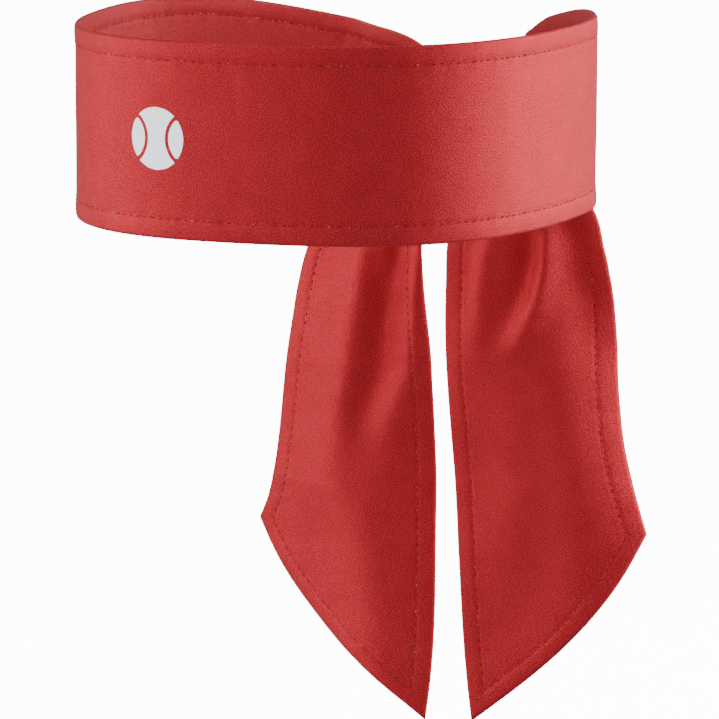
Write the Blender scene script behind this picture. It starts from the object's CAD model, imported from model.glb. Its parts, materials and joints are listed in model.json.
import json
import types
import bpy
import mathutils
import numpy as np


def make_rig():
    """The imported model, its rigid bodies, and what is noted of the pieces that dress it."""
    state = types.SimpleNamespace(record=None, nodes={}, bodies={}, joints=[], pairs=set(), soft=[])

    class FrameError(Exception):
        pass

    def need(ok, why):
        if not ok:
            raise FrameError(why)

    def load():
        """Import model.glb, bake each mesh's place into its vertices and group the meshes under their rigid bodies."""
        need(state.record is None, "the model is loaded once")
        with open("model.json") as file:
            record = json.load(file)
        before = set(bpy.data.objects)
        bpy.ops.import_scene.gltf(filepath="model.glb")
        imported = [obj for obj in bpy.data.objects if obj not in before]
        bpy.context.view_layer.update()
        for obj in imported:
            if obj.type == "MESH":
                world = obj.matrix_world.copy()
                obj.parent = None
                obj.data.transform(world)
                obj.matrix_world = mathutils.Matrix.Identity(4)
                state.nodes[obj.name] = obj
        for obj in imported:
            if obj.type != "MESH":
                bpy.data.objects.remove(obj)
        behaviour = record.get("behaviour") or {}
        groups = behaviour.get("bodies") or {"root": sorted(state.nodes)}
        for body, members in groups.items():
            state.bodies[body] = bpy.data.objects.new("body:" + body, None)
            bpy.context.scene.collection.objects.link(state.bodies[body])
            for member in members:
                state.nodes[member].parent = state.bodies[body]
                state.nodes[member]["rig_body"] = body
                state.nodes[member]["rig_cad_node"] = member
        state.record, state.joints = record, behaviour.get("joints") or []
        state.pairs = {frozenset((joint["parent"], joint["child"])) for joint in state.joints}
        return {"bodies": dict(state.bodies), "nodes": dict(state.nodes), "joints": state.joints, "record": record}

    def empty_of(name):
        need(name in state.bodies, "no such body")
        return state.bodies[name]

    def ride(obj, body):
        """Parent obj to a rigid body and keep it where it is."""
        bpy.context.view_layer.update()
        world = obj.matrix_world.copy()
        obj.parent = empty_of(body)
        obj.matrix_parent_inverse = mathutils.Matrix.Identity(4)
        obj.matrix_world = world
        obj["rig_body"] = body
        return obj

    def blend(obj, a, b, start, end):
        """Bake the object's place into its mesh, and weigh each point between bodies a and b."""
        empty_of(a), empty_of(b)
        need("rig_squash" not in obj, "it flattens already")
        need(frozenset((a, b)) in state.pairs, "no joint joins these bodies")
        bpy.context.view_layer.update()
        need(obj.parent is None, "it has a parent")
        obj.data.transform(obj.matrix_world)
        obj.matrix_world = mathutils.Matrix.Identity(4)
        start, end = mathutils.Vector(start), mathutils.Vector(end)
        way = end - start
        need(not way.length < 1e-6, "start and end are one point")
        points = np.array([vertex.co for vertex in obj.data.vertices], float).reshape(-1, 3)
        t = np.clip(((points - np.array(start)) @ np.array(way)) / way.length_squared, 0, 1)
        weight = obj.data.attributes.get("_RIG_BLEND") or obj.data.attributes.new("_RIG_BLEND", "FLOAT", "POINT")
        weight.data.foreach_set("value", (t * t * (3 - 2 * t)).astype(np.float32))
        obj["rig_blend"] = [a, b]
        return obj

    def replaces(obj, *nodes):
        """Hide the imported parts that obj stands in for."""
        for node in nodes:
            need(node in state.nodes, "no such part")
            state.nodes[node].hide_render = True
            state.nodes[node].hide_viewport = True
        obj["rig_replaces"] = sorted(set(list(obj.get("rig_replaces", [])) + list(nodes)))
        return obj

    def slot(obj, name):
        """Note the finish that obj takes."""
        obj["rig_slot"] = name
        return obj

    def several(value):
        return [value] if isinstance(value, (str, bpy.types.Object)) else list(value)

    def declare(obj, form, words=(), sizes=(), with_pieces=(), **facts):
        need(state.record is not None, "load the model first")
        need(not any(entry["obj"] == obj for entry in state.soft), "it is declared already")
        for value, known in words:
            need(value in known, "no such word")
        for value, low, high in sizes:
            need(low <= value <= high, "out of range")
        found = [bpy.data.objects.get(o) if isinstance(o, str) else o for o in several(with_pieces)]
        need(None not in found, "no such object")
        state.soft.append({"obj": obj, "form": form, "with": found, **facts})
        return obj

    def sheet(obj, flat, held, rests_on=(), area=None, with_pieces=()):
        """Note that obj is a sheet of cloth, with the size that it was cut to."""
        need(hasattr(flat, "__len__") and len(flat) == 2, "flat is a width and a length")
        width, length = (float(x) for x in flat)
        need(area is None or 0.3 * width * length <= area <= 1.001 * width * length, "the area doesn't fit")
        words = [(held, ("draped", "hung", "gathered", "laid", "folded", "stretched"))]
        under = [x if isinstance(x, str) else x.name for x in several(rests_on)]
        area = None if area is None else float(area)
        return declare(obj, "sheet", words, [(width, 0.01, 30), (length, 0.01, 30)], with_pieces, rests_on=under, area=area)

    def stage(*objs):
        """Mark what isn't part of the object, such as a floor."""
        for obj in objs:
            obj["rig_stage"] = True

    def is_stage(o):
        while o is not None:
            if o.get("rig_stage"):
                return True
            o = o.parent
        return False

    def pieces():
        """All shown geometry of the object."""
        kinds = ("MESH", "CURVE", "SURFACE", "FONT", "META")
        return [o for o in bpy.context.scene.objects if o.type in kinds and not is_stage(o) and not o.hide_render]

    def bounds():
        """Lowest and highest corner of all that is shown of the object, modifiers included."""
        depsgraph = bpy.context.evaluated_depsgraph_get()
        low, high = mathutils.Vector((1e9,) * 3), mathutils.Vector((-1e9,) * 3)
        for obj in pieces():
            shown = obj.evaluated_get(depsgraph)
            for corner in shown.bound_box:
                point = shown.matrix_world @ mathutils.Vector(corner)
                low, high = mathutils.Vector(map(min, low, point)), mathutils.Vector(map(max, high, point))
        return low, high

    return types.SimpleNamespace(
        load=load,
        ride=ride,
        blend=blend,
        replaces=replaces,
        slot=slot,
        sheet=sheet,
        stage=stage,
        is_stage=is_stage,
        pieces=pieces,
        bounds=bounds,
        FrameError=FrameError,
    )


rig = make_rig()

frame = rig.load()

import json
import math

import bpy
import numpy as np
from mathutils import Matrix, Vector, noise

# A tie headband: a double strip of knit, topstitched, knotted behind, two pointed ends hanging.
# Shapes are worked out in millimetres and turned into metres when a mesh is made.

with open("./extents.json", "w") as out:
    json.dump({"start": [list(corner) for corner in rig.bounds()]}, out)

MM = 0.001

# ---- driving dimensions, the same as the solids' --------------------------------------------
BAND_HEIGHT = 60.0        # full height round the front and the sides
HALF_WIDTH = 80.0         # loop, centre to either temple
FRONT_DEPTH = 109.0       # loop, centre to the forehead
BACK_DEPTH = 105.0        # loop, centre to where the two ends would meet
FRONT_POWER = 2.75        # front half: a flattened oval (superellipse power)
BACK_POWER = 1.3          # back half: drawn out towards the knot
TAPER_START = 19.0        # the upper and lower edges run in from here back to the knot
TAPER_POWER = 1.7
BOTTOM_AT_KNOT = -18.5
THICK = 1.8               # both layers, with the allowance between them
HEM = 6.0                 # edge to topstitching
KNOT = np.array((0.0, 108.0, -15.0))
PIVOT = {name: np.array(next(j for j in frame["joints"] if j["name"] == f"{name}_tail_swing")
                        ["pos_m"]) / MM for name in ("left", "right")}

# ---- dimensions of the soft pieces ----------------------------------------------------------
TOP_AT_KNOT = 8.5         # the upper edge at the knot, 1 mm above the solids'
STRAP_END = 34.0          # half distance at the back where the strip leaves the loop's curve
LOWER_SPARE = 0.8         # how far the cloth hangs below the lower edge of the solid band
RIM_SLUMP = {"left": 0.0, "right": 4.5}       # how far the upper edge sinks before the knot
SLUMP_FROM, SLUMP_TO = 62, 88                 # depths between which it sinks
ROPE = 5.0                # radius of the bunched-up cloth in the knot
STITCH_PITCH = 2.9
STITCH_LENGTH = 2.5
STITCH_RADIUS = 0.19

EDGE_ROUND = 1.0          # how far in from a folded edge the cloth is rounded off
HEM_PUFF = 0.14           # the puff over the turned-in allowance: its height,
PUFF_MIDDLE = 3.2         # where it is fullest, from the edge,
PUFF_WIDTH = 2.0          # and its half width
GROOVE = 0.20             # depth of the sewn groove, and as much again at each stitch
GROOVE_WIDTH = 0.6
PUCKER = 0.06             # unevenness beside the stitching
PUCKER_PITCH = 7.3
INNER_SINK = 0.12         # the cloth is this much thinner past the topstitching
RIPPLE = 0.35             # slow unevenness of the band
CREASE = 0.13             # depth of the creases in bunched cloth, as a share of its radius
GATHER_FOLD = 2.0         # depth of the folds where the band closes up towards the knot


def smoothstep(value, low, high):
    t = np.clip((np.asarray(value, float) - low) / (high - low), 0, 1)
    return t * t * (3 - 2 * t)


def bell(value, middle, width):
    return np.exp(-((np.asarray(value, float) - middle) / width) ** 2)


def wobble(x, y, z=0.0):
    """Smooth noise between about -1 and 1 over arrays of x and y."""
    x, y = np.broadcast_arrays(np.asarray(x, float), np.asarray(y, float))
    flat = [noise.noise(Vector((a, b, z))) for a, b in zip(x.ravel(), y.ravel())]
    return np.array(flat).reshape(x.shape)


# ---- the strip's path: forehead, side, gather, knot -----------------------------------------
def oval(angle):
    s, c = math.sin(angle), math.cos(angle)
    power = FRONT_POWER if c > 0 else BACK_POWER
    depth = FRONT_DEPTH if c > 0 else BACK_DEPTH
    x = HALF_WIDTH * math.copysign(abs(s) ** (2 / power), s)
    y = -depth * math.copysign(abs(c) ** (2 / power), c)
    return x, y


def even_points(points, step=None, count=None):
    """Points spaced evenly along a polyline."""
    points = np.asarray(points, float)
    run = np.concatenate([[0], np.cumsum(np.linalg.norm(np.diff(points, axis=0), axis=1))])
    count = count or int(round(run[-1] / step)) + 1
    at = np.linspace(0, run[-1], count)
    return np.stack([np.interp(at, run, points[:, k]) for k in range(points.shape[1])], axis=1)


def eased_loop(count=600, passes=250, fine=4800):
    """Outer face of the loop in plan, from the forehead round to the right, with eased corners."""
    dense = [oval(2 * math.pi * i / fine) for i in range(fine + 1)]
    points = even_points(dense, count=count + 1)[:-1]
    for _ in range(passes):
        points = (np.roll(points, 1, 0) + 2 * points + np.roll(points, -1, 0)) / 4
    return points


LOOP = eased_loop()


def cloth_middle():
    """The loop in plan along the middle of the cloth."""
    ahead = np.roll(LOOP, -1, 0) - np.roll(LOOP, 1, 0)
    ahead /= np.linalg.norm(ahead, axis=1)[:, None]
    return LOOP + THICK / 2 * np.stack([-ahead[:, 1], ahead[:, 0]], axis=1)


def taper(y, upper):
    """Height of the upper or lower edge at a depth."""
    along = np.clip((y - TAPER_START) / (BACK_DEPTH - TAPER_START), 0, 1) ** TAPER_POWER
    if upper:
        return BAND_HEIGHT / 2 - (BAND_HEIGHT / 2 - TOP_AT_KNOT) * along
    return -BAND_HEIGHT / 2 + (BAND_HEIGHT / 2 + BOTTOM_AT_KNOT) * along


def smooth_curve(points, step=1.0, fine=40):
    """A natural cubic spline through the points, as evenly spaced points."""
    points = np.asarray(points, float)
    run = np.concatenate([[0], np.cumsum(np.linalg.norm(np.diff(points, axis=0), axis=1))])
    gaps = np.diff(run)
    count = len(points)
    system, right = np.eye(count), np.zeros(points.shape)
    for i in range(1, count - 1):
        system[i, i - 1:i + 2] = gaps[i - 1], 2 * (gaps[i - 1] + gaps[i]), gaps[i]
        right[i] = 6 * ((points[i + 1] - points[i]) / gaps[i]
                        - (points[i] - points[i - 1]) / gaps[i - 1])
    bend = np.linalg.solve(system, right)
    dense = []
    for i in range(count - 1):
        for t in np.linspace(0, 1, fine, endpoint=False):
            u, h = 1 - t, gaps[i]
            dense.append(u * points[i] + t * points[i + 1]
                         + h * h / 6 * ((u ** 3 - u) * bend[i] + (t ** 3 - t) * bend[i + 1]))
    dense.append(points[-1])
    return even_points(dense, step=step)


# The right end's turn through the knot, from the knot's middle. The left end's is turned half round.
TURN = [
    (12, 5.8, 5.3), (0, -5.8, 10.8), (-8, 0.6, 16.8), (-15, 5.8, 10.5), (-17.6, 6.2, 0),
    (-15, 5.8, -10.5), (-8, 0.6, -16.8), (0, -5.8, -10.8), (12, 5.8, -5.3),
]
# Where each end runs between the loop and its turn, and between its turn and its hanging end.
ENTRY = {
    "right": [(30.5, 84.5, -3.8), (29.5, 94, -4.4), (27.3, 103.5, -6.2), (21.2, 111.8, -8.6)],
    "left": [(-27, 84.8, -3.6), (-20.5, 93, -5.2)],
}
EXIT = {
    "right": [(19, 114.8, -22.2), (22.3, 113.4, -27.2)],
    "left": [(-18.6, 103, -22.2), (-22.2, 106.4, -26.8)],
}
ROPE_ABOVE_PIVOT = 3.0    # the bunched strip ends this far above its hanging end's pivot
# Where the full-height strip starts and ends bunching up, in plan.
GATHER = {
    "right": ((29.5, 94), (14, 113.6)),
    "left": ((-15, 98), (-3, 111)),
}


class Half:
    """The right or left half of the strip, from the forehead into the knot."""

    def __init__(self, name):
        self.side = 1 if name == "right" else -1
        quarter, half = len(LOOP) // 4, len(LOOP) // 2
        last = next(i for i in range(quarter, half) if LOOP[i, 0] < STRAP_END)
        flat = np.array([(self.side * x, y, (taper(y, True) + taper(y, False)) / 2)
                         for x, y in cloth_middle()[:last:2]])
        turn = np.array(TURN) * (self.side, self.side, 1) + KNOT
        above_pivot = PIVOT[name] + (0, 0, ROPE_ABOVE_PIVOT)
        route = np.vstack([flat, ENTRY[name], turn, EXIT[name], above_pivot])
        self.path = smooth_curve(route)
        run = np.arange(len(self.path)) * np.linalg.norm(self.path[1] - self.path[0])
        self.run = run
        heading = np.gradient(self.path, axis=0)
        heading /= np.linalg.norm(heading, axis=1)[:, None]
        self.up = [np.array((0.0, 0.0, 1.0))]
        for t in heading[1:]:
            up = self.up[-1] - t * self.up[-1].dot(t)
            self.up.append(up / np.linalg.norm(up))
        self.up = np.array(self.up)
        self.out = self.side * np.cross(heading, self.up)
        y = self.path[:, 1]
        top_of_turn = int(np.argmin(np.linalg.norm(self.path - turn[2], axis=1)))
        before_turn = run < run[top_of_turn]
        start, self.gather_end = (self.run_near(place, before_turn) for place in GATHER[name])
        self.height = taper(y, True) - taper(y, False)
        self.slump = RIM_SLUMP[name] * smoothstep(y, SLUMP_FROM, SLUMP_TO)
        self.bunch = smoothstep(run, start, self.gather_end)

    def run_near(self, place, allowed):
        """How far along the strip it passes nearest to a place in plan."""
        away = np.linalg.norm(self.path[:, :2] - place, axis=1)
        return self.run[int(np.argmin(np.where(allowed, away, np.inf)))]

    def at(self, run, what):
        """The path, a direction or a size of the strip, at distances along it."""
        values = getattr(self, what)
        if values.ndim == 1:
            return np.interp(run, self.run, values)
        return np.stack([np.interp(run, self.run, values[:, k]) for k in range(3)], axis=-1)


HALVES = {name: Half(name) for name in ("left", "right")}


# ---- the cloth's cross-section --------------------------------------------------------------
def half_thickness(from_edge, along):
    """Middle of the cloth to its face: rounded edge, puffed hem, a groove where it is sewn."""
    stitch = 0.5 + 0.5 * np.cos(2 * math.pi * along / STITCH_PITCH)
    edge = np.sqrt(np.clip(1 - (1 - np.clip(from_edge / EDGE_ROUND, 0, 1)) ** 2, 0, 1))
    hem = HEM_PUFF * bell(from_edge, PUFF_MIDDLE, PUFF_WIDTH)
    groove = GROOVE * (1 + stitch) * bell(from_edge, HEM, GROOVE_WIDTH)
    uneven = np.sin(2 * math.pi * along / PUCKER_PITCH + 1.5 * np.sin(along / 23.0))
    pucker = PUCKER * uneven * bell(from_edge, HEM + 0.5, 2.6)
    sink = INNER_SINK * smoothstep(from_edge, HEM, HEM + 2)
    return (THICK / 2 + hem + pucker) * edge - groove - sink


def strip_point(half, run, v, face):
    """A point on the strip: v across it from -1, the lower edge, to 1; face 1 outside, -1 inside."""
    centre, up, out = (half.at(run, what) for what in ("path", "up", "out"))
    height, bunch = half.at(run, "height"), half.at(run, "bunch")
    slump = np.maximum(v, 0) * half.at(run, "slump")
    flat_across = v * height / 2 + np.minimum(v, 0) * LOWER_SPARE - slump
    from_edge = (1 - np.abs(v)) * height / 2
    ripple = RIPPLE * wobble(run / 38 + 7 * half.side, v * 0.8)
    flat_out = face * half_thickness(from_edge, run) + ripple * smoothstep(from_edge, 0, 8)
    angle = v * math.pi / 2
    crease = 1 + CREASE * np.sin(7 * angle + 0.05 * run + half.side) * np.cos(angle) ** 0.5
    rope_across = ROPE * np.sin(angle)
    rope_out = face * ROPE * np.cos(angle) * crease
    part_way = 4 * bunch * (1 - bunch)
    fold = GATHER_FOLD * np.sin(3.2 * math.pi * v + 0.02 * run) * part_way * (1 - v * v)
    across = flat_across * (1 - bunch) + rope_across * bunch
    outward = flat_out * (1 - bunch) + rope_out * bunch + fold
    return centre + up * across[..., None] + out * outward[..., None]


def edge_spread(count, sharp=0.82):
    """Values from -1 to 1, closer together towards both ends."""
    even = np.linspace(-1, 1, count)
    return (1 - sharp) * even + sharp * np.sin(even * math.pi / 2)


# ---- meshes ---------------------------------------------------------------------------------
def mesh_piece(name, points, faces, cloth=None):
    """A smooth mesh; cloth holds each point's place on the flat strip, for the knit's pattern."""
    mesh = bpy.data.meshes.new(name)
    mesh.from_pydata((np.asarray(points) * MM).tolist(), [], faces)
    if cloth is not None:
        layer = mesh.attributes.new("cloth", "FLOAT_VECTOR", "POINT")
        layer.data.foreach_set("vector", (np.asarray(cloth, np.float32) * MM).ravel())
    mesh.validate()
    mesh.shade_smooth()
    piece = bpy.data.objects.new(name, mesh)
    bpy.context.collection.objects.link(piece)
    return piece


def grid_faces(rows, columns, start=0, wrap=False, flip=False):
    faces = []
    for i in range(rows - 1):
        for j in range(columns if wrap else columns - 1):
            a, b = start + i * columns + j, start + i * columns + (j + 1) % columns
            quad = (a, b, b + columns, a + columns)
            faces.append(quad[::-1] if flip else quad)
    return faces


def sheet_piece(name, grid, cloth, flip=False):
    rows, columns = grid.shape[:2]
    return mesh_piece(name, grid.reshape(-1, 3), grid_faces(rows, columns, flip=flip),
                      cloth.reshape(-1, 3))


def whole_band(v, reach, face, step=1.0):
    """Both halves of the strip as one grid, from the left end over the forehead to the right."""
    rows, cloth = [], []
    for name, sign in (("left", -1), ("right", 1)):
        half = HALVES[name]
        runs = np.arange(0 if sign > 0 else step, half.gather_end + reach, step)
        runs = runs if sign > 0 else runs[::-1]
        run, across = np.meshgrid(runs, v, indexing="ij")
        rows.append(strip_point(half, run, across, face))
        cloth.append(np.stack([sign * run, across * BAND_HEIGHT / 2, 0 * run], axis=-1))
    return np.concatenate(rows), np.concatenate(cloth)


def stitch(points, normals, start):
    """One stitch: a short thread along four points, with both ends dipping into the cloth."""
    uneven = 0.07 * math.sin(2.7 * start) + 0.05 * math.sin(1.31 * start + 1)
    lift = np.array((-0.24, 0.08 + uneven, 0.08 - uneven, -0.24))
    widths = np.array((0.45, 1.0, 1.0, 0.45)) * STITCH_RADIUS
    centres = points + normals * lift[:, None]
    ahead = centres[-1] - centres[0]
    ahead /= np.linalg.norm(ahead)
    aside = np.cross(normals[1], ahead)
    centres += aside * uneven * np.array((1, 1.5, -1, -1.5))[:, None]
    verts = []
    for centre, width in zip(centres, widths):
        for k in range(6):
            turn = 2 * math.pi * k / 6
            verts.append(centre + width * (math.cos(turn) * aside + math.sin(turn) * normals[1]))
    faces = grid_faces(4, 6, start=start, wrap=True, flip=True)
    faces.append(tuple(start + k for k in range(6)))
    faces.append(tuple(start + 18 + k for k in reversed(range(6))))
    return verts, faces


def stitch_row(name, stations):
    """Stitches from (points, normals) groups of four."""
    verts, faces = [], []
    for points, normals in stations:
        more, quads = stitch(points, normals, len(verts))
        verts += more
        faces += quads
    return mesh_piece(name, verts, faces)


# ---- band -----------------------------------------------------------------------------------
def make_band():
    v = edge_spread(65)
    outer = sheet_piece("band_outer_cloth", *whole_band(v, 1.0, 1), flip=True)
    lining = sheet_piece("band_lining_cloth", *whole_band(v, 1.0, -1))
    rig.replaces(outer, "band_outer_face", "left_strap_gather", "right_strap_gather")
    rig.replaces(lining, "band_inner_lining")
    length = sum(half.gather_end for half in HALVES.values()) * MM
    for piece in (outer, lining):
        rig.ride(piece, "band")
        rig.slot(piece, "knit" if piece is outer else "lining")
        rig.sheet(piece, flat=(BAND_HEIGHT * MM, length), held="stretched")


def band_stitches(upper, face):
    """The topstitching along one edge, on the outside (1) or the inside (-1)."""
    stations = []
    for name in ("left", "right"):
        half = HALVES[name]
        for k in range(int((half.gather_end - 6) / STITCH_PITCH)):
            middle = (k + 0.5) * STITCH_PITCH
            run = middle + STITCH_LENGTH * np.array((-0.5, -0.2, 0.2, 0.5))
            run = run if half.side > 0 else run[::-1]
            v = (1 - 2 * HEM / half.at(run, "height")) * (1 if upper else -1)
            points = strip_point(half, run, v, face)
            along = strip_point(half, run + 0.3, v, face) - points
            above, below = (strip_point(half, run, v + near, face) for near in (0.004, -0.004))
            across = above - below
            normals = np.cross(along, across) * half.side * face
            normals /= np.linalg.norm(normals, axis=1)[:, None]
            stations.append((points, normals))
    where = "outside" if face > 0 else "inside"
    edge = "upper" if upper else "lower"
    piece = stitch_row(f"{edge}_stitches_{where}", stations)
    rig.replaces(piece, f"{edge}_stitching_{where}")
    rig.ride(piece, "band")
    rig.slot(piece, "thread")


def make_knot_turn(name):
    """The rope of cloth from where the strap is bunched up, through the knot, to the hanging end."""
    half = HALVES[name]
    runs = np.arange(half.gather_end, half.run[-1], 0.8)
    verts, cloth = [], []
    for face in (1, -1):
        v = np.linspace(-1, 1, 41)[:-1] * face
        run, across = np.meshgrid(runs, v, indexing="ij")
        verts.append(strip_point(half, run, across, face))
        flat_across = across * BAND_HEIGHT / 2 + BAND_HEIGHT * face
        cloth.append(np.stack([run, flat_across, 0 * run], axis=-1))
    verts, cloth = np.concatenate(verts, axis=1), np.concatenate(cloth, axis=1)
    rows, columns = verts.shape[:2]
    faces = grid_faces(rows, columns, wrap=True, flip=half.side > 0)
    piece = mesh_piece(f"knot_{name}_cloth", verts.reshape(-1, 3), faces, cloth.reshape(-1, 3))
    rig.replaces(piece, f"knot_{name}_turn")
    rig.ride(piece, "band")
    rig.slot(piece, "knit")
    length = (half.run[-1] - half.gather_end) * MM
    # Not the true cut, which is BAND_HEIGHT wide: only the outside of the bunched cloth is modelled,
    # so flat is the girth that shows.
    girth = 2 * math.pi * ROPE * MM
    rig.sheet(piece, flat=(girth, length), area=girth / 2 * length, held="gathered")


# ---- printed ball ---------------------------------------------------------------------------
MARK_RUN = 28.5           # along the outer face from the middle of the forehead, to the left
MARK_RADIUS = 9.5
SEAM_OFFSET = 12.0        # each curved seam is an arc about a point this far to the side
SEAM_RADII = (7.7, 8.9)   # between these radii the cloth shows
PRINT_LIFT = 0.10


def mark_part(start, low_of, high_of, rows=46, columns=16, narrowest=0.05):
    """A patch of the print between two curves, laid just over the cloth."""
    half = HALVES["left"]
    b = np.linspace(-0.999, 0.999, rows) * MARK_RADIUS
    low, high = low_of(b), high_of(b)
    keep = high - low > narrowest
    b, low, high = b[keep], low[keep], high[keep]
    a = low[:, None] + (high - low)[:, None] * np.linspace(0, 1, columns)[None, :]
    v = np.repeat(b[:, None], columns, axis=1) / (BAND_HEIGHT / 2)
    run = MARK_RUN - a
    points = strip_point(half, run, v, 1) + PRINT_LIFT * half.at(run, "out")
    return points.reshape(-1, 3), grid_faces(len(b), columns, start=start)


def make_mark():
    def rim(b):
        return np.sqrt(np.clip(MARK_RADIUS ** 2 - b ** 2, 0, None))

    def seam(b, radius):
        return SEAM_OFFSET - np.sqrt(np.clip(radius ** 2 - b ** 2, 0, None))

    inside, outside = SEAM_RADII

    def waist(b):
        return np.minimum(seam(b, outside), rim(b))

    verts, faces = [], []
    for low_of, high_of in (
            (lambda b: -waist(b), waist),
            (lambda b: seam(b, inside), rim),
            (lambda b: -rim(b), lambda b: -seam(b, inside))):
        more, quads = mark_part(len(verts), low_of, high_of)
        verts += list(more)
        faces += quads
    piece = mesh_piece("front_print", verts, faces)
    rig.replaces(piece, "front_mark")
    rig.ride(piece, "band")
    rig.slot(piece, "print")


# ---- hanging ends ---------------------------------------------------------------------------
# Edges as (height z, sideways x), top to bottom. A fold is rows of (z, x, rise, half width), with a
# positive rise towards the front. The spine, at depth front, is where the end turns its sides away,
# by the slopes (z, left, right). The bulge is how far the slanted end bows outwards, and how much
# fuller it is towards its corner than towards its tip.
ROPE_BELOW, OPEN_BELOW = 37, 58    # the cloth opens out between these distances below the origin
SPINE_EASE = 5.0          # how softly the sides turn away from the spine
RUMPLE = 0.9              # slow unevenness of the hanging cloth
NECK_SHARE = 0.94         # the neck's radius, as a share of the bunched cloth's in the knot
NECK_FOLD = 1.5           # depth of the folds where the neck opens out
ROW_TURN = 2.2            # how late the mesh's rows turn from level to slanted
BULGE_FADE = 10           # how quickly the slanted end's bow dies out above it
SEAM_TOP = -60            # the topstitching and the allowance come out of the gathers here
ALLOWANCE_TOP = -66
ALLOWANCE = (1.4, 5.2)    # from the cloth's edge to the near and far side of what is turned in
ALLOWANCE_HALF = 0.3      # half its thickness
BLEND_ABOVE, BLEND_BELOW = 4.5, 9.0     # the neck bends between these, above and below its pivot
TAILS = {
    "left": {
        "outer": [(-27, -26.6), (-36, -27), (-42, -33), (-48, -43), (-55, -53), (-63, -59),
                  (-72, -62), (-85, -64.2), (-113, -68.3), (-140, -72), (-155, -76),
                  (-163, -80)],
        "inner": [(-27, -17.4), (-36, -17.2), (-48, -15.5), (-60, -14), (-69, -13.7), (-83, -13),
                  (-97, -11.9), (-118, -11.5), (-140, -11.6), (-165, -11.4), (-190, -11.2),
                  (-214, -12.2), (-228, -13.8)],
        "spine": [(-50, -24), (-83, -38), (-104, -42), (-147, -43), (-168, -38), (-228, -30)],
        "bulge": (5.0, 0.8),
        "slopes": [(-50, 0.50, 0.22), (-110, 0.50, 0.22), (-140, 0.50, 0.34), (-228, 0.50, 0.34)],
        "front": 103.0,
        "folds": [
            [(-48, -30, 0, 4), (-60, -36, 1.6, 5), (-80, -38, 2, 6), (-104, -41, 2.2, 7),
             (-125, -46, 1.6, 7), (-145, -48, 0.8, 8), (-165, -48, 0, 9)],
            [(-50, -21, 0, 3), (-58, -22.5, -3, 4), (-68, -24, -3, 4.2),
             (-78, -25.5, -2, 4.2), (-90, -27, -0.8, 5), (-100, -28, 0, 5)],
            [(-54, -14, 1.2, 3), (-64, -14.5, 3, 4), (-78, -16, 3.4, 5), (-92, -17, 3.2, 5.5),
             (-106, -18.5, 2.4, 6), (-125, -26, 1.4, 8), (-145, -28, 0, 9)],
            [(-60, -30, 0, 3), (-70, -30.5, -1.2, 4), (-82, -29, -1.9, 4.5),
             (-104, -30, -2.3, 5.5), (-118, -34, -2.2, 6.5), (-135, -36, -1.2, 8),
             (-150, -36, 0, 9)],
            [(-52, -40, 0, 4), (-62, -49, -1.4, 4), (-76, -54, -1.2, 5), (-95, -58, 0, 6)],
        ],
    },
    "right": {
        "outer": [(-27, 26.6), (-34, 27.5), (-39, 35), (-44, 42.5), (-50, 45), (-58, 46.2),
                  (-65, 47.6), (-79, 49.2), (-92, 49.8), (-106, 50.6), (-121, 52.2), (-134, 54.8),
                  (-147, 58.6), (-159, 63)],
        "inner": [(-27, 17.4), (-34, 17), (-40, 12.5), (-46, 4), (-52, -2.5), (-59, -5.2),
                  (-70, -5.9), (-83, -6.2), (-105, -5.6), (-122, -4.3), (-140, -2.8),
                  (-163, -1.1), (-185, 0.4), (-210, 2.4), (-226, 4.5)],
        "spine": [(-50, 24), (-60, 26), (-80, 28), (-97, 31), (-118, 36), (-140, 42), (-168, 45),
                  (-226, 50)],
        "bulge": (6.4, 0.35),
        "slopes": [(-50, 0.06, 0.62), (-70, 0.06, 0.68), (-85, 0.06, 0.88), (-97, 0.06, 1.04),
                   (-118, 0.06, 1.16), (-140, 0.06, 1.12), (-165, 0.02, 0.55), (-226, 0, 0.30)],
        "front": 104.0,
        "folds": [
            [(-47, 23, 0, 4), (-56, 23.5, -3.2, 4.5), (-66, 23, -4, 5), (-76, 21, -3, 5),
             (-86, 17, -1.2, 5.5), (-95, 14, 0, 6)],
            [(-48, 29, 0.5, 3), (-58, 29.5, 2, 3.5), (-70, 29, 2.4, 4), (-82, 26, 2.4, 4.5),
             (-92, 21, 1.4, 5), (-102, 16, 0, 7)],
            [(-48, 36, 0, 4), (-58, 37, -2.5, 5), (-70, 38.5, -3.2, 6), (-85, 41, -1.6, 6.5),
             (-97, 44, -0.6, 7), (-108, 46, 0, 7)],
            [(-90, 28, 0, 5), (-105, 26, -1.2, 8), (-130, 29, -1.2, 9), (-165, 32, -0.8, 9),
             (-200, 25, 0, 9)],
            [(-52, 12, 0, 3), (-62, 9, 1.6, 4), (-78, 7, 2, 4.5), (-92, 6, 1.4, 6),
             (-108, 4, 0, 7)],
        ],
    },
}


def through(table, z, column=1):
    """A table's column at heights z, in straight lines between its rows."""
    table = np.asarray(table, float)[::-1]
    return np.interp(z, table[:, 0], table[:, column])


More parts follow.
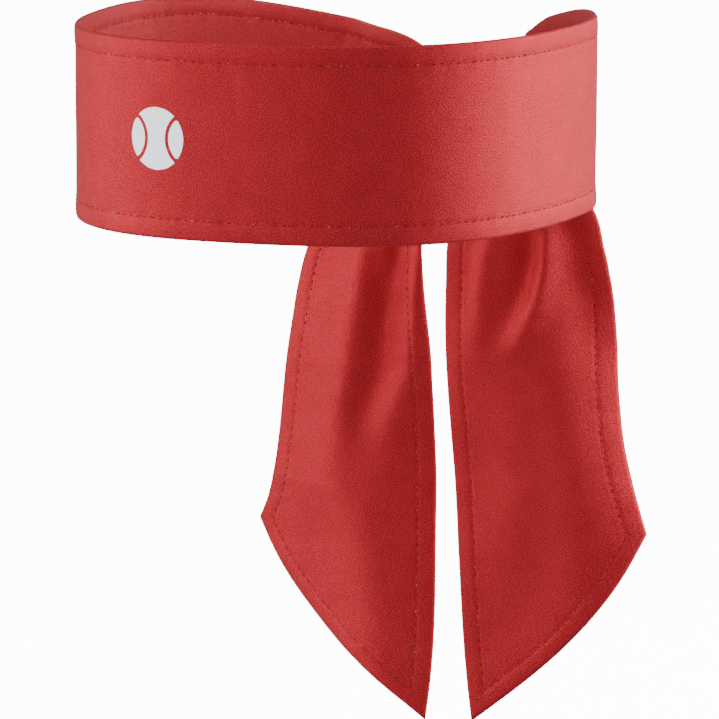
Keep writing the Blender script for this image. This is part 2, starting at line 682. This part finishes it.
class Tail:
    """A hanging end: a bunched neck below the knot that opens into a pointed double strip."""

    def __init__(self, name):
        self.name = name
        self.side = 1 if name == "right" else -1
        shape = TAILS[name]
        self.shape = shape
        self.edges = {}
        for edge in ("outer", "inner"):
            line = smooth_curve([(x, z) for z, x in shape[edge]], step=0.5)
            self.edges[edge] = line[:, ::-1]
        self.top = shape["outer"][0][0]
        self.corner = np.array(shape["outer"][-1][::-1])
        self.tip = np.array(shape["inner"][-1][::-1])
        slant = self.tip - self.corner
        self.slant_length = np.linalg.norm(slant)
        self.slant = slant / self.slant_length
        inward = np.array((-self.slant[1], self.slant[0]))
        self.inward = inward if inward[1] > 0 else -inward

    def edge_x(self, edge, z):
        return through(self.edges[edge], z)

    def bulge(self, along):
        """How far the slanted end bows past a straight line, along it from its corner."""
        t = np.clip(along / self.slant_length, 0, 1)
        rise, skew = self.shape["bulge"]
        return rise * 4 * t * (1 - t) * (1 + skew * (1 - 2 * t))

    def from_slant(self, x, z):
        """How far inside the slanted end a place is, and how far along it from the corner."""
        dx, dz = x - self.corner[0], z - self.corner[1]
        along = dx * self.slant[0] + dz * self.slant[1]
        return dx * self.inward[0] + dz * self.inward[1] + self.bulge(along), along

    def plan(self, r, v):
        """Sideways place and height: r down the strip 0..1, v from the outer edge 0 to inner 1."""
        z_inner = self.top + (self.tip[1] - self.top) * r
        z_outer = z_inner + (self.corner[1] - self.tip[1]) * r ** ROW_TURN
        x_outer, x_inner = self.edge_x("outer", z_outer), self.edge_x("inner", z_inner)
        x, z = x_outer + (x_inner - x_outer) * v, z_outer + (z_inner - z_outer) * v
        push = self.bulge(v * self.slant_length) * r ** BULGE_FADE
        return x - self.inward[0] * push, z - self.inward[1] * push

    def open_out(self, z):
        """0 where the cloth is bunched like a rope, 1 where it hangs open."""
        return smoothstep(-z, ROPE_BELOW, OPEN_BELOW)

    def depth(self, x, z):
        """The middle of the cloth, front to back."""
        shape, pivot = self.shape, PIVOT[self.name]
        spine = through(shape["spine"], z)
        left_slope, right_slope = (through(shape["slopes"], z, k) for k in (1, 2))
        left = SPINE_EASE * np.logaddexp(0, (spine - x) / SPINE_EASE)
        right = SPINE_EASE * np.logaddexp(0, (x - spine) / SPINE_EASE)
        hung = shape["front"] + left_slope * left + right_slope * right
        for fold in shape["folds"]:
            middle, rise, width = (through(fold, z, k) for k in (1, 2, 3))
            hung -= rise * bell(x, middle, width)
        hung -= RUMPLE * wobble(x / 21 + 3 * self.side, z / 34, 0.3)
        opened = self.open_out(z)
        return pivot[1] * (1 - opened) + hung * opened

    def surface(self, x, z, face):
        """A point on the front (1) or back (-1) face."""
        outer, inner = self.edge_x("outer", z), self.edge_x("inner", z)
        from_slant, along = self.from_slant(x, z)
        width = np.abs(inner - outer)
        from_outer, from_inner = np.abs(x - outer), np.abs(x - inner)
        run = np.where(from_slant < np.minimum(from_outer, from_inner), along, -z)
        from_edge = np.minimum(np.minimum(from_outer, from_inner), np.maximum(from_slant, 0))
        flat = half_thickness(np.maximum(from_edge, 0), run)
        share = np.clip(from_outer / np.maximum(width, 1e-6), 0, 1)
        crease = 1 + CREASE * np.sin(15 * share + 0.09 * z + self.side)
        rope = NECK_SHARE * ROPE * 2 * np.sqrt(np.clip(share * (1 - share), 0, None)) * crease
        opened = self.open_out(z)
        gather = NECK_FOLD * np.sin(19 * share + self.side) * 4 * opened * (1 - opened)
        thickness = flat * opened + rope * (1 - opened)
        shape = 4 * share * (1 - share)
        y = self.depth(x, z) - gather * shape - face * thickness
        return np.stack([x, y, z], axis=-1)


HANGING = {name: Tail(name) for name in ("left", "right")}


def tail_normal(tail, x, z, face, near=0.35):
    """The outward direction of a hanging end's front or back face."""
    across = tail.surface(x + near, z, face) - tail.surface(x - near, z, face)
    down = tail.surface(x, z - near, face) - tail.surface(x, z + near, face)
    normal = np.cross(across, down)
    normal /= np.linalg.norm(normal, axis=-1)[..., None]
    return np.where((normal[..., 1] * face > 0)[..., None], -normal, normal)


def blend_tail(piece, name):
    pivot = PIVOT[name]
    start, end = (pivot + (0, 0, BLEND_ABOVE)) * MM, (pivot + (0, 0, -BLEND_BELOW)) * MM
    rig.blend(piece, "band", f"{name}_tail", start=tuple(start), end=tuple(end))


def make_tail_cloth(name):
    tail = HANGING[name]
    r, v = np.meshgrid(np.linspace(0, 1, 231), (1 + edge_spread(101)) / 2, indexing="ij")
    x, z = tail.plan(r, v)
    cloth = np.stack([v * BAND_HEIGHT, -z, 0 * z], axis=-1)
    mean_length = -(tail.corner[1] + tail.tip[1]) / 2 + tail.top
    area = BAND_HEIGHT * mean_length * MM * MM
    flat = (BAND_HEIGHT * MM, -tail.tip[1] * MM + tail.top * MM)
    for face, where in ((1, "front"), (-1, "back")):
        grid = tail.surface(x, z, face)
        piece = sheet_piece(f"{name}_tail_{where}_cloth", grid, cloth, flip=face * tail.side > 0)
        if face > 0:
            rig.replaces(piece, f"{name}_tail_front_layer", f"{name}_tail_neck")
        else:
            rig.replaces(piece, f"{name}_tail_back_layer")
        blend_tail(piece, name)
        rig.slot(piece, "knit" if face > 0 else "lining")
        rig.sheet(piece, flat=flat, held="hung", area=area)


def make_tail_hem(name):
    """The allowance turned in between the two layers, along both sides and the slanted end."""
    tail = HANGING[name]
    verts, faces = [], []
    z = np.linspace(ALLOWANCE_TOP, tail.corner[1] + 6, 60)
    outer = [(tail.edge_x("outer", z) - tail.side * d, z) for d in ALLOWANCE]
    z = np.linspace(ALLOWANCE_TOP, tail.tip[1] + 16, 80)
    inner = [(tail.edge_x("inner", z) + tail.side * d, z) for d in ALLOWANCE]
    t = np.linspace(0.10, 0.90, 50)
    line = tail.corner + tail.slant * (t * tail.slant_length)[:, None]
    slanted = [tuple((line + tail.inward * (d - tail.bulge(t * tail.slant_length))[:, None]).T)
               for d in ALLOWANCE]
    for near, far in (outer, inner, slanted):
        ring = []
        for (x, z), deep in ((near, 1), (far, 1), (far, -1), (near, -1)):
            ring.append(np.stack([x, tail.depth(x, z) - deep * ALLOWANCE_HALF, z], axis=-1))
        ring = np.stack(ring, axis=1)
        start = len(verts)
        faces += grid_faces(len(ring), 4, start=start, wrap=True)
        faces.append(tuple(start + k for k in reversed(range(4))))
        faces.append(tuple(start + 4 * (len(ring) - 1) + k for k in range(4)))
        verts += list(ring.reshape(-1, 3))
    piece = mesh_piece(f"{name}_tail_allowance", verts, faces)
    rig.replaces(piece, f"{name}_tail_hem")
    blend_tail(piece, name)
    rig.slot(piece, "knit")


def seam_line(tail):
    """The topstitching's route on a hanging end, down the outer side and back up the inner."""
    z = np.arange(SEAM_TOP, tail.tip[1], -0.5)
    outer = np.stack([tail.edge_x("outer", z) - tail.side * HEM, z], axis=1)
    inner = np.stack([tail.edge_x("inner", z) + tail.side * HEM, z], axis=1)
    lines = []
    for line in (outer, inner):
        from_slant, _ = tail.from_slant(line[:, 0], line[:, 1])
        lines.append(line[from_slant > HEM])
    first, last = lines[0][-1], lines[1][-1]
    t = np.linspace(0, 1, 120)[1:-1]
    chord = first + (last - first) * t[:, None]
    from_slant, _ = tail.from_slant(chord[:, 0], chord[:, 1])
    slanted = chord - tail.inward * (from_slant - HEM)[:, None]
    return np.vstack([lines[0], slanted, lines[1][::-1]])


def make_tail_stitches(name):
    tail = HANGING[name]
    steps = 8                                       # points along the seam from stitch to stitch
    line = even_points(seam_line(tail), step=STITCH_PITCH / steps)
    for face, where in ((1, "front"), (-1, "back")):
        stations = []
        for i in range(0, len(line) - steps, steps):
            x, z = line[[i, i + 2, i + 4, i + 6]].T
            stations.append((tail.surface(x, z, face), tail_normal(tail, x, z, face)))
        piece = stitch_row(f"{name}_tail_stitches_{where}", stations)
        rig.replaces(piece, f"{name}_tail_stitching_{where}")
        blend_tail(piece, name)
        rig.slot(piece, "thread")


# ---- materials ------------------------------------------------------------------------------
KNIT = dict(deep=(0.44, 0.016, 0.025), light=(0.86, 0.052, 0.068), gloss=0.45)
LINING = dict(deep=(0.38, 0.016, 0.023), light=(0.72, 0.048, 0.060), gloss=0.25)
WALE_PITCH = 0.00055      # metres from one column of loops to the next
COURSE_PITCH = 0.00046    # and from one row of loops to the next
LOOP_SLANT = 0.55


class Shader:
    """A material's node tree, with short ways to add and join nodes."""

    def __init__(self, name):
        self.material = bpy.data.materials.new(name)
        self.material.use_nodes = True
        self.tree = self.material.node_tree
        self.surface = self.tree.nodes["Principled BSDF"]

    def add(self, kind, **values):
        node = self.tree.nodes.new(kind)
        for key, value in values.items():
            setattr(node, key, value)
        return node

    def join(self, source, target):
        self.tree.links.new(source, target)

    def cloth_place(self):
        return self.add("ShaderNodeAttribute", attribute_name="cloth").outputs["Vector"]

    def scaled(self, vector, scale):
        node = self.add("ShaderNodeVectorMath", operation="MULTIPLY")
        self.join(vector, node.inputs[0])
        node.inputs[1].default_value = scale
        return node.outputs[0]

    def noise(self, vector, scale, detail, roughness):
        node = self.add("ShaderNodeTexNoise")
        self.join(vector, node.inputs["Vector"])
        node.inputs["Scale"].default_value = scale
        node.inputs["Detail"].default_value = detail
        node.inputs["Roughness"].default_value = roughness
        return node.outputs["Fac"]

    def math(self, operation, first, second=None):
        node = self.add("ShaderNodeMath", operation=operation)
        for socket, value in zip(node.inputs, (first, second)):
            if isinstance(value, (int, float)):
                socket.default_value = value
            elif value is not None:
                self.join(value, socket)
        return node.outputs[0]

    def ramp(self, factor, stops):
        node = self.add("ShaderNodeValToRGB")
        self.join(factor, node.inputs["Fac"])
        elements = node.color_ramp.elements
        while len(elements) < len(stops):
            elements.new(0.5)
        for element, (place, colour) in zip(elements, stops):
            element.position = place
            element.color = (*colour, 1)
        return node.outputs["Color"]

    def bump(self, height, distance, strength, normal=None):
        node = self.add("ShaderNodeBump")
        self.join(height, node.inputs["Height"])
        node.inputs["Distance"].default_value = distance
        node.inputs["Strength"].default_value = strength
        if normal is not None:
            self.join(normal, node.inputs["Normal"])
        return node.outputs["Normal"]


def knit_material(name, deep, light, gloss):
    """Fine satin-faced knit: small slanting loops, a speckled grain and a soft sheen."""
    shader = Shader(name)
    place = shader.cloth_place()
    parts = shader.add("ShaderNodeSeparateXYZ")
    shader.join(place, parts.inputs[0])
    along, across = parts.outputs["X"], parts.outputs["Y"]
    wale = shader.math("SINE", shader.math("MULTIPLY", across, 2 * math.pi / WALE_PITCH))
    slope = shader.math("ADD", along, shader.math("MULTIPLY", across, LOOP_SLANT))
    course = shader.math("SINE", shader.math("MULTIPLY", slope, 2 * math.pi / COURSE_PITCH))
    loops = shader.math("MULTIPLY", wale, course)
    grain = shader.noise(shader.scaled(place, (1.0, 1.6, 1.0)), 1900, 2.0, 0.65)
    cloud = shader.noise(place, 90, 3.0, 0.55)
    mixed = shader.math("ADD", shader.math("MULTIPLY", grain, 0.9),
                        shader.math("MULTIPLY", cloud, 0.1))
    colour = shader.ramp(mixed, [(0.38, deep), (0.62, light)])
    shader.join(colour, shader.surface.inputs["Base Color"])
    fuzz = shader.bump(grain, 0.00022, 0.8)
    knit = shader.bump(loops, 0.00006, 0.5, fuzz)
    shader.join(knit, shader.surface.inputs["Normal"])
    surface = shader.surface.inputs
    surface["Metallic"].default_value = gloss
    surface["Roughness"].default_value = 0.42
    surface["Specular IOR Level"].default_value = 0.25
    surface["Specular Tint"].default_value = (1.0, 0.30, 0.32, 1)
    surface["Sheen Weight"].default_value = 0.06
    surface["Sheen Roughness"].default_value = 0.40
    surface["Sheen Tint"].default_value = (1.0, 0.60, 0.64, 1)
    return shader.material


def thread_material():
    """Polyester sewing thread, darker than the knit, with a few pale specks."""
    shader = Shader("sewing_thread")
    place = shader.add("ShaderNodeTexCoord").outputs["Object"]
    grain = shader.noise(place, 900, 2.0, 0.6)
    shader.join(shader.ramp(grain, [(0.35, (0.28, 0.012, 0.018)), (0.58, (0.58, 0.032, 0.042)),
                                    (0.68, (0.80, 0.30, 0.32))]),
                shader.surface.inputs["Base Color"])
    shader.join(shader.bump(grain, 0.00008, 0.6), shader.surface.inputs["Normal"])
    shader.surface.inputs["Roughness"].default_value = 0.6
    shader.surface.inputs["Specular IOR Level"].default_value = 0.15
    return shader.material


def print_material():
    """Matte transfer print, with the knit's grain showing through."""
    shader = Shader("transfer_print")
    place = shader.add("ShaderNodeTexCoord").outputs["Object"]
    grain = shader.noise(place, 1500, 2.0, 0.6)
    shader.join(shader.ramp(grain, [(0.3, (0.86, 0.88, 0.95)), (0.7, (0.92, 0.94, 1.0))]),
                shader.surface.inputs["Base Color"])
    shader.join(shader.bump(grain, 0.00008, 0.4), shader.surface.inputs["Normal"])
    shader.surface.inputs["Roughness"].default_value = 0.62
    shader.surface.inputs["Emission Color"].default_value = (0.86, 0.91, 1.0, 1)
    shader.surface.inputs["Emission Strength"].default_value = 1.1
    return shader.material


def apply_materials():
    knit = knit_material("satin_knit", **KNIT)
    lining = knit_material("satin_knit_lining", **LINING)
    thread, mark = thread_material(), print_material()
    for piece in bpy.data.objects:
        if piece.type != "MESH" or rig.is_stage(piece):
            continue
        if "stitch" in piece.name:
            material = thread
        elif "print" in piece.name:
            material = mark
        elif "lining" in piece.name or "back_cloth" in piece.name:
            material = lining
        else:
            material = knit
        piece.data.materials.clear()
        piece.data.materials.append(material)


# ---- floor, light and camera ----------------------------------------------------------------
FLOOR_LEVEL = -0.30
CEILING_LEVEL = 5.0
STAGE_REACH = 6.0
BACKDROP_GLOW = 13.0
WORLD_LIGHT = 0.44
LIT_PLACE = (0, 0, -0.08)
# Azimuth 0 stands in front of the forehead, 90 at its +X side.
LIGHTS = {
    "left_softbox": dict(azimuth=-68, elevation=10, distance=1.0, size=(1.2, 0.7), power=8.0),
    "right_softbox": dict(azimuth=128, elevation=12, distance=0.9, size=(0.9, 0.8), power=11.0),
    "top_softbox": dict(azimuth=20, elevation=78, distance=1.2, size=(0.8, 0.8), power=1.5),
}
CAMERA_AZIMUTH = 19.24
CAMERA_HEIGHT = 9.54
CAMERA_DISTANCE = 1.7514
CAMERA_LENS = 274.0
AIM = (-0.00004, -0.08227)      # right and up of the origin, in the picture's plane


def towards(azimuth, elevation):
    """The direction from the origin to a light or the camera."""
    a, e = math.radians(azimuth), math.radians(elevation)
    return Vector((math.sin(a) * math.cos(e), -math.cos(a) * math.cos(e), math.sin(e)))


def plain_stage(name, verts, faces):
    """A bright even backdrop piece that throws no light on the object."""
    mesh = bpy.data.meshes.new(name)
    mesh.from_pydata(verts, [], faces)
    piece = bpy.data.objects.new(name, mesh)
    bpy.context.collection.objects.link(piece)
    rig.stage(piece)
    piece.visible_diffuse = False
    piece.visible_glossy = False
    piece.visible_shadow = False
    material = bpy.data.materials.new(f"pale_{name}")
    material.use_nodes = True
    shader = material.node_tree.nodes["Principled BSDF"].inputs
    shader["Base Color"].default_value = (0.9, 0.9, 0.9, 1)
    shader["Roughness"].default_value = 0.9
    shader["Emission Color"].default_value = (1, 1, 1, 1)
    shader["Emission Strength"].default_value = BACKDROP_GLOW
    mesh.materials.append(material)


def make_stage():
    far = STAGE_REACH
    corners = [(-far, -far), (far, -far), (far, far), (-far, far)]
    plain_stage("floor", [(x, y, FLOOR_LEVEL) for x, y in corners], [(0, 1, 2, 3)])
    box = [(x, y, z) for z in (FLOOR_LEVEL, CEILING_LEVEL) for x, y in corners]
    walls = [(k, (k + 1) % 4, 4 + (k + 1) % 4, 4 + k) for k in range(4)]
    plain_stage("backdrop", box, walls + [(4, 5, 6, 7)])


def area_light(name, azimuth, elevation, distance, size, power):
    """A soft light facing the object."""
    away = towards(azimuth, elevation)
    data = bpy.data.lights.new(name, "AREA")
    data.shape = "RECTANGLE"
    data.size, data.size_y = size
    data.energy = power
    light = bpy.data.objects.new(name, data)
    light.location = Vector(LIT_PLACE) + away * distance
    light.rotation_euler = away.to_track_quat("Z", "Y").to_euler()
    bpy.context.collection.objects.link(light)


def make_lights():
    for name, light in LIGHTS.items():
        area_light(name, **light)
    world = bpy.data.worlds.new("studio")
    bpy.context.scene.world = world
    world.use_nodes = True
    background = world.node_tree.nodes["Background"].inputs
    background["Color"].default_value = (1, 1, 1, 1)
    background["Strength"].default_value = WORLD_LIGHT


def make_camera():
    back = towards(CAMERA_AZIMUTH, CAMERA_HEIGHT)
    azimuth = math.radians(CAMERA_AZIMUTH)
    right = Vector((math.cos(azimuth), math.sin(azimuth), 0))
    up = back.cross(right)
    data = bpy.data.cameras.new("camera")
    data.lens = CAMERA_LENS
    data.sensor_width = 36
    data.clip_start, data.clip_end = 0.05, 20
    camera = bpy.data.objects.new("camera", data)
    turn = Matrix((right, up, back)).transposed().to_4x4()
    place = right * AIM[0] + up * AIM[1] + back * CAMERA_DISTANCE
    camera.matrix_world = Matrix.Translation(place) @ turn
    bpy.context.collection.objects.link(camera)
    bpy.context.scene.camera = camera


# ---- the scene ------------------------------------------------------------------------------
make_camera()
make_lights()
make_stage()
make_band()
for upper in (True, False):
    for face in (1, -1):
        band_stitches(upper, face)
make_mark()
for name in ("left", "right"):
    make_knot_turn(name)
    make_tail_cloth(name)
    make_tail_hem(name)
    make_tail_stitches(name)
apply_materials()

with open("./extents.json") as start:
    sizes = json.load(start)
sizes["end"] = [list(corner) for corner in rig.bounds()]
with open("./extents.json", "w") as out:
    json.dump(sizes, out)
